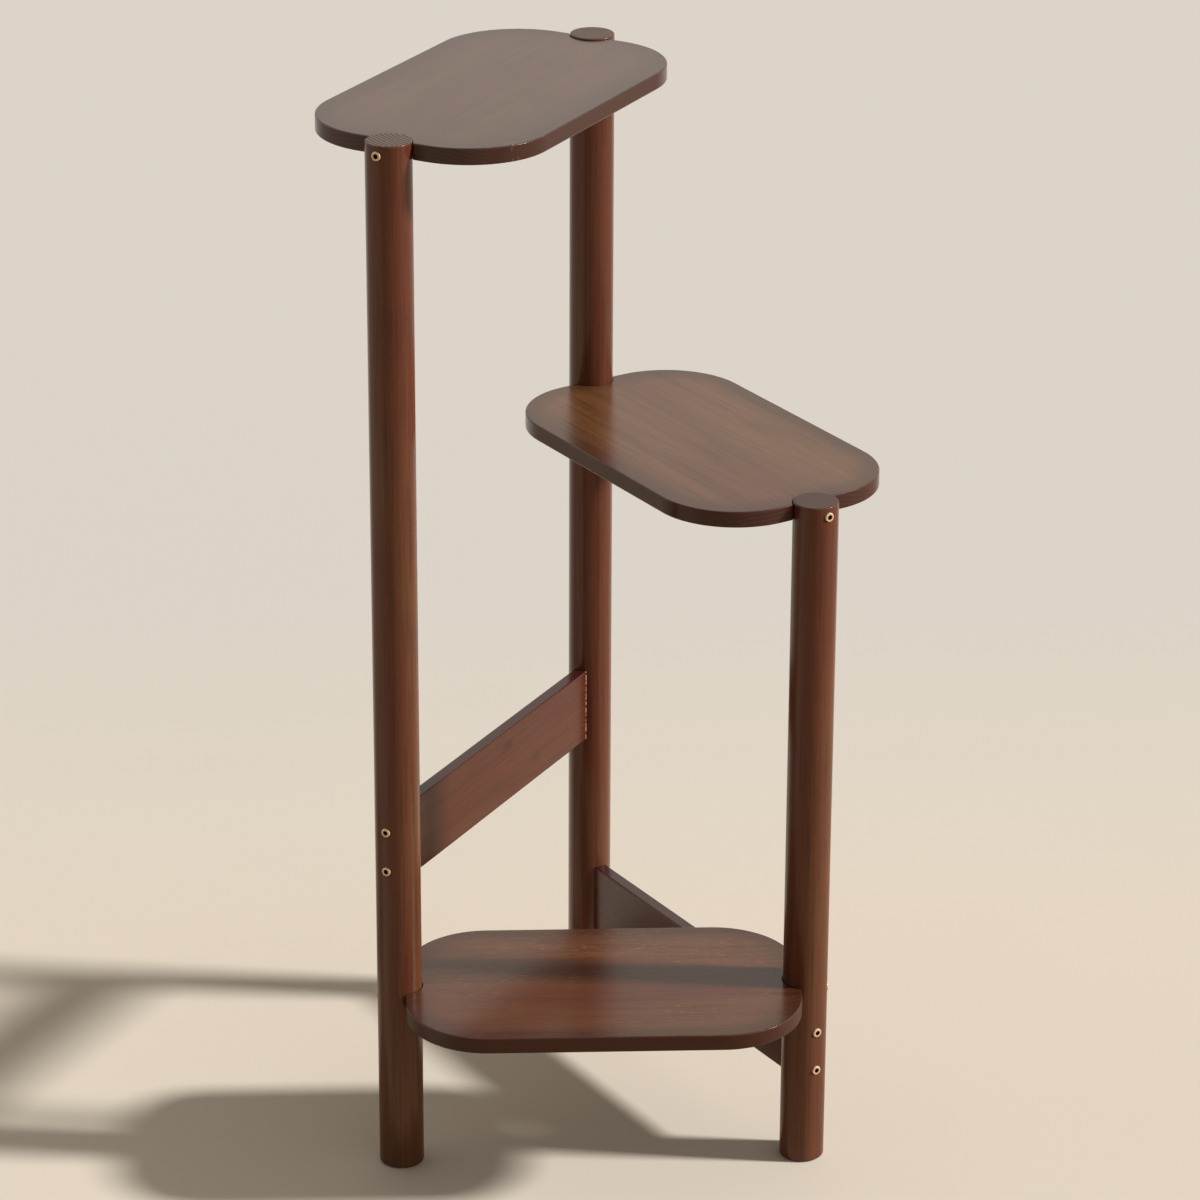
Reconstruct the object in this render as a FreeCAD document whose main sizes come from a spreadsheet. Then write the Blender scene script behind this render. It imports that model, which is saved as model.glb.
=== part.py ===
"""Tiered plant stand: three round legs, three notched shelves and two rails, bolted together.

Millimetres, +Z up. The origin is on the floor, at the centre of the stand's overall box.
+X runs from the front left leg to the front right leg, and the rear leg stands at +Y.
The leg axes stand at the corners of an equilateral triangle, and each shelf spans one of its
sides at its own level, so that the shelves climb round the stand like a spiral stair.
"""

import FreeCAD, Part
import os
from FreeCAD import Placement, Rotation, Vector
from math import acos, cos, degrees, radians, sin

import Sketcher

# Driving sizes, each written once. Everything else is worked out from them.
SIZES = {
    # Legs: turned dowels with softened rims
    "leg_diameter": 38.0,
    "leg_spacing": 345.0,
    "leg_rise": 1.5,
    "leg_top_rim": 1.5,
    "leg_foot_rim": 2.5,
    # Shelves: heights are those of the top faces above the floor
    "top_shelf_height": 914.5,
    "middle_shelf_height": 604.5,
    "bottom_shelf_height": 168.0,
    "shelf_thickness": 14.0,
    "shelf_width": 202.0,
    "shelf_corner": 70.0,
    "shelf_setback": 5.0,
    "shelf_edge": 1.3,
    "notch_horn": 2.0,
    # Rails: flat bars on edge under the shelves
    "left_rail_top": 334.0,
    "right_rail_top": 140.0,
    "rail_depth": 67.0,
    "rail_thickness": 12.0,
    "rail_edge": 1.5,
    "rail_bolt_pitch": 36.0,
    # Bolts: cylinder heads with a hexagon socket, sunk into the legs
    "bolt_diameter": 5.0,
    "bolt_length": 45.0,
    "head_diameter": 8.0,
    "head_height": 5.0,
    "head_edge": 0.6,
    "head_proud": 0.7,
    "socket_flats": 4.0,
    "socket_depth": 2.5,
    # Threaded inserts in the ends of the shelves and rails
    "insert_diameter": 8.0,
    "insert_length": 13.0,
    "insert_lead": 0.8,
    "insert_socket_flats": 6.0,
    "insert_socket_depth": 3.0,
    "pilot_relief": 3.0,
    # Clearances, each on the radius
    "seat_clearance": 0.2,
    "bore_clearance": 0.25,
    "counterbore_clearance": 0.5,
    "thread_clearance": 0.05,
    "insert_clearance": 0.05,
}

CORNER_TURN = 60.0  # degrees between the sides of the leg triangle
RISE = sin(radians(CORNER_TURN))
RUN = cos(radians(CORNER_TURN))


class Dim:
    """A size: its value now, and the expression that keeps it tied to the sheet."""

    def __init__(self, value, text):
        self.value = value
        self.text = text

    @staticmethod
    def of(other):
        return other if isinstance(other, Dim) else Dim(float(other), repr(float(other)))

    def __add__(self, other):
        other = Dim.of(other)
        return Dim(self.value + other.value, f"({self.text} + {other.text})")

    def __sub__(self, other):
        other = Dim.of(other)
        return Dim(self.value - other.value, f"({self.text} - {other.text})")

    def __mul__(self, other):
        other = Dim.of(other)
        return Dim(self.value * other.value, f"({self.text} * {other.text})")

    def __truediv__(self, other):
        other = Dim.of(other)
        return Dim(self.value / other.value, f"({self.text} / {other.text})")

    def __neg__(self):
        return Dim(-self.value, f"(-1 * {self.text})")


def size(name):
    return Dim(SIZES[name], "sizes." + name)


def make_sheet(doc):
    """Writes the driving sizes into a sheet, one named cell each."""
    sheet = doc.addObject("Spreadsheet::Sheet", "sizes")
    for row, (name, value) in enumerate(SIZES.items(), start=1):
        sheet.set(f"A{row}", name)
        sheet.set(f"B{row}", str(value))
        sheet.setAlias(f"B{row}", name)
    doc.recompute()


# ---------------------------------------------------------------- worked-out sizes

ZERO = Dim.of(0)
LEG_RADIUS = size("leg_diameter") / 2
LONG_LEG = size("top_shelf_height") + size("leg_rise")
SHORT_LEG = size("middle_shelf_height") + size("leg_rise")

# A shelf or rail wraps the leg: its end is a hollow of the leg's radius plus the seat clearance.
SEAT_RADIUS = LEG_RADIUS + size("seat_clearance")
SEAT_FLOOR = size("leg_spacing") / 2 - SEAT_RADIUS
SHELF_LENGTH = size("leg_spacing") - size("shelf_setback") * 2

# Along a bolt, outwards from the leg's axis
HEAD_TOP = LEG_RADIUS + size("head_proud")
HEAD_SEAT = HEAD_TOP - size("head_height")

BOTTOM_SHELF_MID = size("bottom_shelf_height") - size("shelf_thickness") / 2
MIDDLE_SHELF_MID = size("middle_shelf_height") - size("shelf_thickness") / 2
TOP_SHELF_MID = size("top_shelf_height") - size("shelf_thickness") / 2
LEFT_RAIL_MID = size("left_rail_top") - size("rail_depth") / 2
RIGHT_RAIL_MID = size("right_rail_top") - size("rail_depth") / 2
RAIL_BOLT_OFFSETS = {"upper": size("rail_bolt_pitch") / 2, "lower": -size("rail_bolt_pitch") / 2}

# The overall box reaches back to the turned corner of the upper shelves, forward to the
# front edge of the bottom shelf. Its centre sets the origin.
CORNER_ALONG = SHELF_LENGTH / 2 - size("shelf_corner")
CORNER_ACROSS = size("shelf_width") / 2 - size("shelf_corner")
BACK_REACH = (
    size("leg_spacing") * (RISE / 2) + CORNER_ALONG * RISE + CORNER_ACROSS * RUN + size("shelf_corner")
)
FRONT_REACH = size("shelf_width") / 2
FRONT_Y = (FRONT_REACH - BACK_REACH) / 2
REAR_Y = FRONT_Y + size("leg_spacing") * RISE

# Leg axes on the floor
LEGS = {
    "left": (-size("leg_spacing") / 2, FRONT_Y),
    "right": (size("leg_spacing") / 2, FRONT_Y),
    "rear": (ZERO, REAR_Y),
}

# Each span runs from its first leg to its second, turned from +X by an angle in degrees
SPANS = {
    "front": ("left", "right", 0.0),
    "left": ("left", "rear", CORNER_TURN),
    "right": ("right", "rear", 180.0 - CORNER_TURN),
}


# ---------------------------------------------------------------- sketch helpers


def place(item, x, y, z, turn=0.0, tip=None):
    """Places a piece: turned about +Z by an angle in degrees, after a tip if one is given."""
    rotation = Rotation(Vector(0, 0, 1), turn)
    if tip is not None:
        rotation = rotation.multiply(tip)
    item.Placement = Placement(Vector(x.value, y.value, z.value), rotation)
    for axis, dim in zip("xyz", (x, y, z)):
        item.setExpression(f"Placement.Base.{axis}", dim.text)


def origin_plane(body, role):
    return next(f for f in body.Origin.OriginFeatures if f.Role == role)


def add_sketch(body, name, role="XY_Plane", height=None, turn=0.0):
    """Adds a sketch on one of the body's origin planes, lifted and turned about its normal."""
    sketch = body.newObject("Sketcher::SketchObject", name)
    sketch.AttachmentSupport = [(origin_plane(body, role), "")]
    sketch.MapMode = "FlatFace"
    lift = height if height is not None else ZERO
    sketch.AttachmentOffset = Placement(Vector(0, 0, lift.value), Rotation(Vector(0, 0, 1), turn))
    if height is not None:
        sketch.setExpression("AttachmentOffset.Base.z", height.text)
    return sketch


def constrain(sketch, dim, *constraint):
    """Adds a sized constraint that stays tied to the sheet."""
    index = sketch.addConstraint(Sketcher.Constraint(*constraint, dim.value))
    sketch.setExpression(f"Constraints[{index}]", dim.text)


def pin_point(sketch, geometry, end, x, y):
    """Ties a point of the sketch to its two coordinates."""
    for kind, dim in (("DistanceX", x), ("DistanceY", y)):
        if dim is ZERO:
            axis = -2 if kind == "DistanceX" else -1
            sketch.addConstraint(Sketcher.Constraint("PointOnObject", geometry, end, axis))
        else:
            constrain(sketch, dim, kind, -1, 1, geometry, end)


def draw_outline(sketch, points):
    """Draws a closed outline of straight lines through points given as pairs of sizes."""
    corners = [Vector(x.value, y.value, 0) for x, y in points]
    count = len(points)
    for index in range(count):
        sketch.addGeometry(Part.LineSegment(corners[index], corners[(index + 1) % count]))
    for index in range(count):
        sketch.addConstraint(Sketcher.Constraint("Coincident", index, 2, (index + 1) % count, 1))
    for index, (x, y) in enumerate(points):
        pin_point(sketch, index, 1, x, y)


def draw_circle(sketch, x, radius):
    """Draws a circle centred on the sketch's horizontal axis."""
    circle = sketch.addGeometry(Part.Circle(Vector(x.value, 0, 0), Vector(0, 0, 1), radius.value))
    pin_point(sketch, circle, 3, x, ZERO)
    constrain(sketch, radius, "Radius", circle)


def draw_rectangle(sketch, length, width):
    half_length = length / 2
    half_width = width / 2
    draw_outline(
        sketch,
        [
            (-half_length, -half_width),
            (half_length, -half_width),
            (half_length, half_width),
            (-half_length, half_width),
        ],
    )


def draw_arc(sketch, x, y, radius, start, end):
    """Draws an arc counter-clockwise between two angles in degrees. Constraints come later."""
    circle = Part.Circle(Vector(x, y, 0), Vector(0, 0, 1), radius)
    return sketch.addGeometry(Part.ArcOfCircle(circle, radians(start), radians(end)))


def join_tangent(sketch, first, first_end, second, second_end):
    sketch.addConstraint(Sketcher.Constraint("Tangent", first, first_end, second, second_end))


def draw_shelf_outline(sketch):
    """Draws a rectangle with round corners, each end hollowed round a leg between two soft horns."""
    along, across = SHELF_LENGTH / 2, size("shelf_width") / 2
    corner, horn = size("shelf_corner"), size("notch_horn")
    axis = size("leg_spacing") / 2
    horn_x = (along - horn).value
    meeting = (axis.value - horn_x) / (SEAT_RADIUS + horn).value
    slope = degrees(acos(meeting))  # from the notch's centre line to a horn's centre
    horn_y = (SEAT_RADIUS + horn).value * sin(radians(slope))
    straight = (across - corner).value
    horns, corners, notches = [], [], []
    for side in (1, -1):
        flip = 0.0 if side == 1 else 180.0
        facing = 180 + flip  # the way that the hollow's middle faces from the leg's axis
        notch = draw_arc(sketch, side * axis.value, 0, SEAT_RADIUS.value, facing - slope, facing + slope)
        # The upper horn ends where the hollow starts, the lower one starts where it ends.
        upper = draw_arc(sketch, side * horn_x, side * horn_y, horn.value, flip - slope, flip)
        lower = draw_arc(sketch, side * horn_x, -side * horn_y, horn.value, flip, flip + slope)
        ends = []
        for level in (1, -1):
            first = Vector(side * along.value, side * level * horn_y, 0)
            last = Vector(side * along.value, side * level * straight, 0)
            ends.append(sketch.addGeometry(Part.LineSegment(first, last)))
        turn_x = side * (along - corner).value
        upper_corner = draw_arc(sketch, turn_x, side * straight, corner.value, flip, flip + 90)
        lower_corner = draw_arc(sketch, turn_x, -side * straight, corner.value, flip - 90, flip)
        join_tangent(sketch, notch, 1, upper, 1)
        join_tangent(sketch, upper, 2, ends[0], 1)
        join_tangent(sketch, ends[0], 2, upper_corner, 1)
        join_tangent(sketch, notch, 2, lower, 2)
        join_tangent(sketch, lower, 1, ends[1], 1)
        join_tangent(sketch, ends[1], 2, lower_corner, 2)
        pin_point(sketch, notch, 3, axis * side, ZERO)
        for line in ends:
            sketch.addConstraint(Sketcher.Constraint("Vertical", line))
            constrain(sketch, along * side, "DistanceX", -1, 1, line, 1)
        notches.append(notch)
        horns += [upper, lower]
        corners += [upper_corner, lower_corner]
    for side, first, last in ((1, corners[0], corners[3]), (-1, corners[2], corners[1])):
        run = Vector(side * (along - corner).value, side * across.value, 0)
        edge = sketch.addGeometry(Part.LineSegment(run, Vector(-run.x, run.y, 0)))
        join_tangent(sketch, first, 2, edge, 1)
        join_tangent(sketch, edge, 2, last, 1)
        sketch.addConstraint(Sketcher.Constraint("Horizontal", edge))
        constrain(sketch, across * side, "DistanceY", -1, 1, edge, 1)
    for group, radius in ((notches, SEAT_RADIUS), (horns, horn), (corners, corner)):
        constrain(sketch, radius, "Radius", group[0])
        for other in group[1:]:
            sketch.addConstraint(Sketcher.Constraint("Equal", group[0], other))


def draw_hexagon(sketch, flats):
    """Draws a hexagon round the sketch's origin, from its distance across flats."""
    corner_radius = flats.value / 2 / cos(radians(30))
    turns = [radians(60 * n) for n in range(6)]
    corners = [Vector(corner_radius * cos(turn), corner_radius * sin(turn), 0) for turn in turns]
    for index in range(6):
        sketch.addGeometry(Part.LineSegment(corners[index], corners[(index + 1) % 6]))
    circle = sketch.addGeometry(Part.Circle(Vector(0, 0, 0), Vector(0, 0, 1), corner_radius))
    sketch.setConstruction(circle, True)
    sketch.addConstraint(Sketcher.Constraint("Coincident", circle, 3, -1, 1))
    for index in range(6):
        sketch.addConstraint(Sketcher.Constraint("Coincident", index, 2, (index + 1) % 6, 1))
        sketch.addConstraint(Sketcher.Constraint("PointOnObject", index, 1, circle))
    for index in range(1, 6):
        sketch.addConstraint(Sketcher.Constraint("Equal", 0, index))
    sketch.addConstraint(Sketcher.Constraint("Horizontal", 1))
    constrain(sketch, flats / cos(radians(30)) / 2, "Radius", circle)


# ---------------------------------------------------------------- feature helpers


def pad(body, sketch, length, midplane=False):
    feature = body.newObject("PartDesign::Pad", sketch.Name + "_pad")
    feature.Profile = sketch
    feature.Length = length.value
    feature.setExpression("Length", length.text)
    feature.Midplane = midplane
    return feature


def cut(body, feature):
    """Recomputes a cutting feature and makes sure that it took something away."""
    before = feature.BaseFeature.Shape.Volume
    body.Document.recompute()
    if not feature.Shape.Volume < before:
        raise ValueError(f"{body.Label}: {feature.Name} cuts nothing")
    return feature


def pocket(body, sketch, depth=None, reverse=False):
    """Cuts a sketch to a depth, or through everything on both sides when no depth is given."""
    feature = body.newObject("PartDesign::Pocket", sketch.Name + "_pocket")
    feature.Profile = sketch
    if depth is None:
        feature.Type = "ThroughAll"
        feature.Midplane = True
    else:
        feature.Length = depth.value
        feature.setExpression("Length", depth.text)
        feature.Reversed = reverse
    return cut(body, feature)


def turn_profile(body, sketch, kind):
    """Revolves a sketch by a full turn about its horizontal axis, as a solid or as a cut."""
    feature = body.newObject(f"PartDesign::{kind}", f"{sketch.Name}_{kind.lower()}")
    feature.Profile = sketch
    feature.ReferenceAxis = (sketch, ["H_Axis"])
    feature.Angle = 360.0
    return cut(body, feature) if kind == "Groove" else feature


def fillet(body, base, edges, radius, name):
    feature = body.newObject("PartDesign::Fillet", name)
    feature.Base = (base, edges)
    feature.Radius = radius.value
    feature.setExpression("Radius", radius.text)
    body.Document.recompute()
    return feature


def mirror_ends(body, features, name):
    """Repeats features on the other end of a shelf or rail."""
    feature = body.newObject("PartDesign::Mirrored", name)
    feature.Originals = features
    feature.MirrorPlane = (origin_plane(body, "YZ_Plane"), [""])
    body.Tip = feature
    body.Document.recompute()
    return feature


def edges_where(shape, test):
    """Names of the edges of a shape whose vertices all pass a test."""
    return [
        f"Edge{number}"
        for number, edge in enumerate(shape.Edges, start=1)
        if all(test(vertex.Point) for vertex in edge.Vertexes)
    ]


def near(first, second):
    return abs(first - second) < 1e-4


# ---------------------------------------------------------------- pieces


def add_body(doc, label):
    body = doc.addObject("PartDesign::Body", label)
    body.Label = label
    return body


def make_leg(doc, label, corner, length, bores):
    """A dowel with softened rims, bored across for each bolt as (name, height, outward angle)."""
    body = add_body(doc, label)
    section = add_sketch(body, label + "_section")
    draw_circle(section, ZERO, LEG_RADIUS)
    dowel = pad(body, section, length)
    doc.recompute()
    top = edges_where(dowel.Shape, lambda point: near(point.z, length.value))
    rounded = fillet(body, dowel, top, size("leg_top_rim"), label + "_top_rim")
    foot = edges_where(rounded.Shape, lambda point: near(point.z, 0))
    fillet(body, rounded, foot, size("leg_foot_rim"), label + "_foot_rim")
    for name, height, outward in bores:
        bore = add_sketch(body, f"{label}_{name}", height=height, turn=outward)
        narrow = size("bolt_diameter") / 2 + size("bore_clearance")
        wide = size("head_diameter") / 2 + size("counterbore_clearance")
        outside = size("leg_diameter")
        draw_outline(
            bore,
            [
                (-outside, ZERO),
                (outside, ZERO),
                (outside, wide),
                (HEAD_SEAT, wide),
                (HEAD_SEAT, narrow),
                (-outside, narrow),
            ],
        )
        turn_profile(body, bore, "Groove")
    x, y = LEGS[corner]
    place(body, x, y, ZERO)
    return body


def bore_ends(body, label, heights):
    """Bores the pilots of the threaded inserts into both ends, one at each height."""
    grooves = []
    for name, height in heights.items():
        pilot = add_sketch(body, f"{label}_{name}_pilot", height=height)
        radius = size("insert_diameter") / 2 + size("insert_clearance")
        floor = SEAT_FLOOR - size("insert_length") - size("pilot_relief")
        mouth = size("leg_spacing") / 2
        draw_outline(pilot, [(floor, ZERO), (mouth, ZERO), (mouth, radius), (floor, radius)])
        grooves.append(turn_profile(body, pilot, "Groove"))
    mirror_ends(body, grooves, label + "_pilots")


def place_on_span(body, span, height):
    start, end, turn = SPANS[span]
    x = (LEGS[start][0] + LEGS[end][0]) / 2
    y = (LEGS[start][1] + LEGS[end][1]) / 2
    place(body, x, y, height, turn)


def make_shelf(doc, label, span, height):
    """A board with round corners, its ends hollowed round two legs and every rim eased."""
    body = add_body(doc, label)
    outline = add_sketch(body, label + "_outline")
    draw_shelf_outline(outline)
    board = pad(body, outline, size("shelf_thickness"), midplane=True)
    doc.recompute()
    face = size("shelf_thickness").value / 2
    rims = edges_where(board.Shape, lambda point: near(point.z, face))
    rims += edges_where(board.Shape, lambda point: near(point.z, -face))
    fillet(body, board, rims, size("shelf_edge"), label + "_edges")
    bore_ends(body, label, {"end": ZERO})
    place_on_span(body, span, height)
    return body


def make_rail(doc, label, span, height):
    """A flat bar on edge with eased long edges, its ends hollowed to butt against two legs."""
    body = add_body(doc, label)
    outline = add_sketch(body, label + "_outline")
    draw_rectangle(outline, size("leg_spacing"), size("rail_thickness"))
    bar = pad(body, outline, size("rail_depth"), midplane=True)
    doc.recompute()
    side = size("rail_thickness").value / 2
    face = size("rail_depth").value / 2
    long_edges = [
        f"Edge{number}"
        for number, edge in enumerate(bar.Shape.Edges, start=1)
        if near(abs(edge.CenterOfMass.y), side) and near(abs(edge.CenterOfMass.z), face)
    ]
    fillet(body, bar, long_edges, size("rail_edge"), label + "_edges")
    seat = add_sketch(body, label + "_seat")
    draw_circle(seat, size("leg_spacing") / 2, SEAT_RADIUS)
    mirror_ends(body, [pocket(body, seat)], label + "_seats")
    bore_ends(body, label, RAIL_BOLT_OFFSETS)
    place_on_span(body, span, height)
    return body


TIP_TO_X = Rotation(Vector(0, 1, 0), 90)  # a fastener's own +Z, its head's side, to +X


def place_on_bolt_line(body, leg, outward, height, distance):
    """Puts a fastener on a bolt's line, at a distance out from the leg's axis."""
    x, y = LEGS[leg]
    east, north = cos(radians(outward)), sin(radians(outward))
    place(body, x + distance * east, y + distance * north, height, outward, TIP_TO_X)


def make_bolt(doc, label, leg, outward, height):
    """A cylinder-head bolt with a hexagon socket. Its origin is under the head."""
    body = add_body(doc, label)
    shank = size("bolt_diameter") / 2
    head = size("head_diameter") / 2
    profile = add_sketch(body, label + "_profile", "YZ_Plane", turn=90.0)
    draw_outline(
        profile,
        [
            (-size("bolt_length"), ZERO),
            (size("head_height"), ZERO),
            (size("head_height"), head - size("head_edge")),
            (size("head_height") - size("head_edge"), head),
            (ZERO, head),
            (ZERO, shank),
            (-size("bolt_length"), shank),
        ],
    )
    turn_profile(body, profile, "Revolution")
    doc.recompute()
    socket = add_sketch(body, label + "_socket", height=size("head_height"))
    draw_hexagon(socket, size("socket_flats"))
    pocket(body, socket, size("socket_depth"))
    place_on_bolt_line(body, leg, outward, height, HEAD_SEAT)
    return body


def make_insert(doc, label, leg, outward, height):
    """A threaded sleeve flush with the seat's floor. Its origin is at its mouth."""
    body = add_body(doc, label)
    outside = size("insert_diameter") / 2
    bore = size("bolt_diameter") / 2 + size("thread_clearance")
    profile = add_sketch(body, label + "_profile", "YZ_Plane", turn=90.0)
    draw_outline(
        profile,
        [
            (-size("insert_length"), bore),
            (ZERO, bore),
            (ZERO, outside),
            (size("insert_lead") - size("insert_length"), outside),
            (-size("insert_length"), outside - size("insert_lead")),
        ],
    )
    turn_profile(body, profile, "Revolution")
    doc.recompute()
    socket = add_sketch(body, label + "_socket")
    draw_hexagon(socket, size("insert_socket_flats"))
    pocket(body, socket, size("insert_socket_depth"))
    place_on_bolt_line(body, leg, outward, height, -SEAT_RADIUS)
    return body


# ---------------------------------------------------------------- assembly


def bolt_lines():
    """Every bolt as (board, place, leg, outward angle, height)."""
    boards = [
        ("top_shelf", "left", {"": TOP_SHELF_MID}),
        ("middle_shelf", "right", {"": MIDDLE_SHELF_MID}),
        ("bottom_shelf", "front", {"": BOTTOM_SHELF_MID}),
        ("left_rail", "left", {n: LEFT_RAIL_MID + off for n, off in RAIL_BOLT_OFFSETS.items()}),
        ("right_rail", "right", {n: RIGHT_RAIL_MID + off for n, off in RAIL_BOLT_OFFSETS.items()}),
    ]
    for board, span, heights in boards:
        start, end, turn = SPANS[span]
        for level, height in heights.items():
            suffix = "_" + level if level else ""
            yield board, start + suffix, start, turn + 180.0, height
            yield board, end + suffix, end, turn, height


def build(doc):
    """Makes every piece of the stand, in the order in which it goes together."""
    lines = list(bolt_lines())
    pieces = []
    for corner, length in (("left", LONG_LEG), ("right", SHORT_LEG), ("rear", LONG_LEG)):
        bores = [
            (f"{board}_{spot}", height, outward)
            for board, spot, leg, outward, height in lines
            if leg == corner
        ]
        pieces.append(make_leg(doc, corner + "_leg", corner, length, bores))
    pieces.append(make_shelf(doc, "top_shelf", "left", TOP_SHELF_MID))
    pieces.append(make_shelf(doc, "middle_shelf", "right", MIDDLE_SHELF_MID))
    pieces.append(make_shelf(doc, "bottom_shelf", "front", BOTTOM_SHELF_MID))
    pieces.append(make_rail(doc, "left_rail", "left", LEFT_RAIL_MID))
    pieces.append(make_rail(doc, "right_rail", "right", RIGHT_RAIL_MID))
    for board, spot, leg, outward, height in lines:
        pieces.append(make_insert(doc, f"{board}_insert_{spot}", leg, outward, height))
        pieces.append(make_bolt(doc, f"{board}_bolt_{spot}", leg, outward, height))
    return pieces


def check(doc, pieces):
    """Stops if any object failed, or any piece is not one sound solid."""
    for item in doc.Objects:
        if {"Invalid", "Error"} & set(item.State):
            raise ValueError(f"{item.Label} failed: {item.State}")
    for piece in pieces:
        shape = piece.Shape
        if shape.isNull() or not shape.isValid() or len(shape.Solids) != 1:
            raise ValueError(f"{piece.Label} is not one sound solid")


def main():
    doc = FreeCAD.newDocument("plant_stand")
    make_sheet(doc)
    pieces = build(doc)
    doc.recompute()
    check(doc, pieces)
    os.makedirs("parts", exist_ok=True)
    for piece in pieces:
        piece.Shape.exportStep(f"parts/{piece.Label}.step")
    print(f"{len(pieces)} pieces, legs {LONG_LEG.value} and {SHORT_LEG.value} mm")


main()
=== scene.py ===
"""Dresses the tiered plant stand: stained wood, antique brass bolts, floor, lamps and camera.

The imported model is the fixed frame, in metres. Legs, shelves and rails keep their solids and get
their finish here. The bolts and threaded inserts are modelled again with their threads, lips and
sockets, each in the place of its own node.
"""

import logging
import math
from collections.abc import Callable
from dataclasses import dataclass, field
from enum import Enum
from typing import Any

import bpy
from mathutils import Matrix, Vector


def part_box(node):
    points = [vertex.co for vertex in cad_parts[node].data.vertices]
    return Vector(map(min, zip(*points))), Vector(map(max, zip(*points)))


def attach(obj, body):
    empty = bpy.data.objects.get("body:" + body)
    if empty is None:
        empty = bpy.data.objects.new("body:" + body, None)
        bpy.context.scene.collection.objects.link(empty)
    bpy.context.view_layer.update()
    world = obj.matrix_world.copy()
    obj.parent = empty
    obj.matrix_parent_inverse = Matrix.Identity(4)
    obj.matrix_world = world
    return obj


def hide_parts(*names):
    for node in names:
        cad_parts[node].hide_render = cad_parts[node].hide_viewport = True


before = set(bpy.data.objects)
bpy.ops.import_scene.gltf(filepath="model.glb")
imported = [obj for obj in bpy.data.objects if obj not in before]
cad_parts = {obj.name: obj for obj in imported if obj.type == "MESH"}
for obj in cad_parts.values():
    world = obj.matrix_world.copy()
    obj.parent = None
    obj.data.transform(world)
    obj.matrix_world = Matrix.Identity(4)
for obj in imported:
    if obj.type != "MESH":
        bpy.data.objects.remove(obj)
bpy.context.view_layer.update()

log = logging.getLogger("plant_stand")

MM = 0.001
PHOTO_WIDTH = 1200.0  # pixels
FILM_WIDTH = 36.0  # millimetres
TURN_STEPS = 20  # sides of a thread in one turn
WELD = 0.001  # millimetres, within which a thread's points are one
LEVEL = 0.01  # millimetres, within which two heights are one
PAST = 1.0  # millimetres that a cutter reaches past a face

Colour = tuple[float, float, float]
Value = "Wire | float | int | tuple[float, ...]"
Settings = dict[str, Any] | None
Sockets = dict[str | int, "Value"] | None


# ---------------------------------------------------------------- shader writing


class Wire:
    """A shader socket that can be used in arithmetic. Each operation adds one Math node."""

    def __init__(self, shader: "Sheet", socket: bpy.types.NodeSocket) -> None:
        """Keeps an output socket and the tree that it belongs to."""
        self.shader = shader
        self.socket = socket

    def _math(self, operation: str, *operands: "Value") -> "Wire":
        """Adds a Math node with its operands in order, and returns the result."""
        return self.shader.add("ShaderNodeMath", {"operation": operation}, dict(enumerate(operands)))

    def __add__(self, other: "Value") -> "Wire":
        """Returns the sum."""
        return self._math("ADD", self, other)

    def __radd__(self, other: "Value") -> "Wire":
        """Returns the sum."""
        return self._math("ADD", other, self)

    def __sub__(self, other: "Value") -> "Wire":
        """Returns the difference."""
        return self._math("SUBTRACT", self, other)

    def __rsub__(self, other: "Value") -> "Wire":
        """Returns the difference from a number."""
        return self._math("SUBTRACT", other, self)

    def __mul__(self, other: "Value") -> "Wire":
        """Returns the product."""
        return self._math("MULTIPLY", self, other)

    def __rmul__(self, other: "Value") -> "Wire":
        """Returns the product."""
        return self._math("MULTIPLY", other, self)

    def __truediv__(self, other: "Value") -> "Wire":
        """Returns the quotient."""
        return self._math("DIVIDE", self, other)

    def __rtruediv__(self, other: "Value") -> "Wire":
        """Returns the quotient of a number."""
        return self._math("DIVIDE", other, self)

    def __abs__(self) -> "Wire":
        """Returns the size without its sign."""
        return self._math("ABSOLUTE", self)

    def sine(self) -> "Wire":
        """Returns the sine of an angle in radians."""
        return self._math("SINE", self)

    def at_most(self, other: "Value") -> "Wire":
        """Returns the smaller of two values."""
        return self._math("MINIMUM", self, other)

    def at_least(self, other: "Value") -> "Wire":
        """Returns the larger of two values."""
        return self._math("MAXIMUM", self, other)

    def root(self) -> "Wire":
        """Returns the square root."""
        return self._math("SQRT", self)

    def between(self, low: float, high: float) -> "Wire":
        """Rises smoothly from 0 at one value to 1 at another.

        Args:
            low: Where the result is 0.
            high: Where the result is 1. It may be the lower of the two.

        Returns:
            The smooth step.
        """
        settings = {"interpolation_type": "SMOOTHSTEP", "clamp": True}
        sockets = {"Value": self, "From Min": low, "From Max": high}
        return self.shader.add("ShaderNodeMapRange", settings, sockets)


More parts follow.
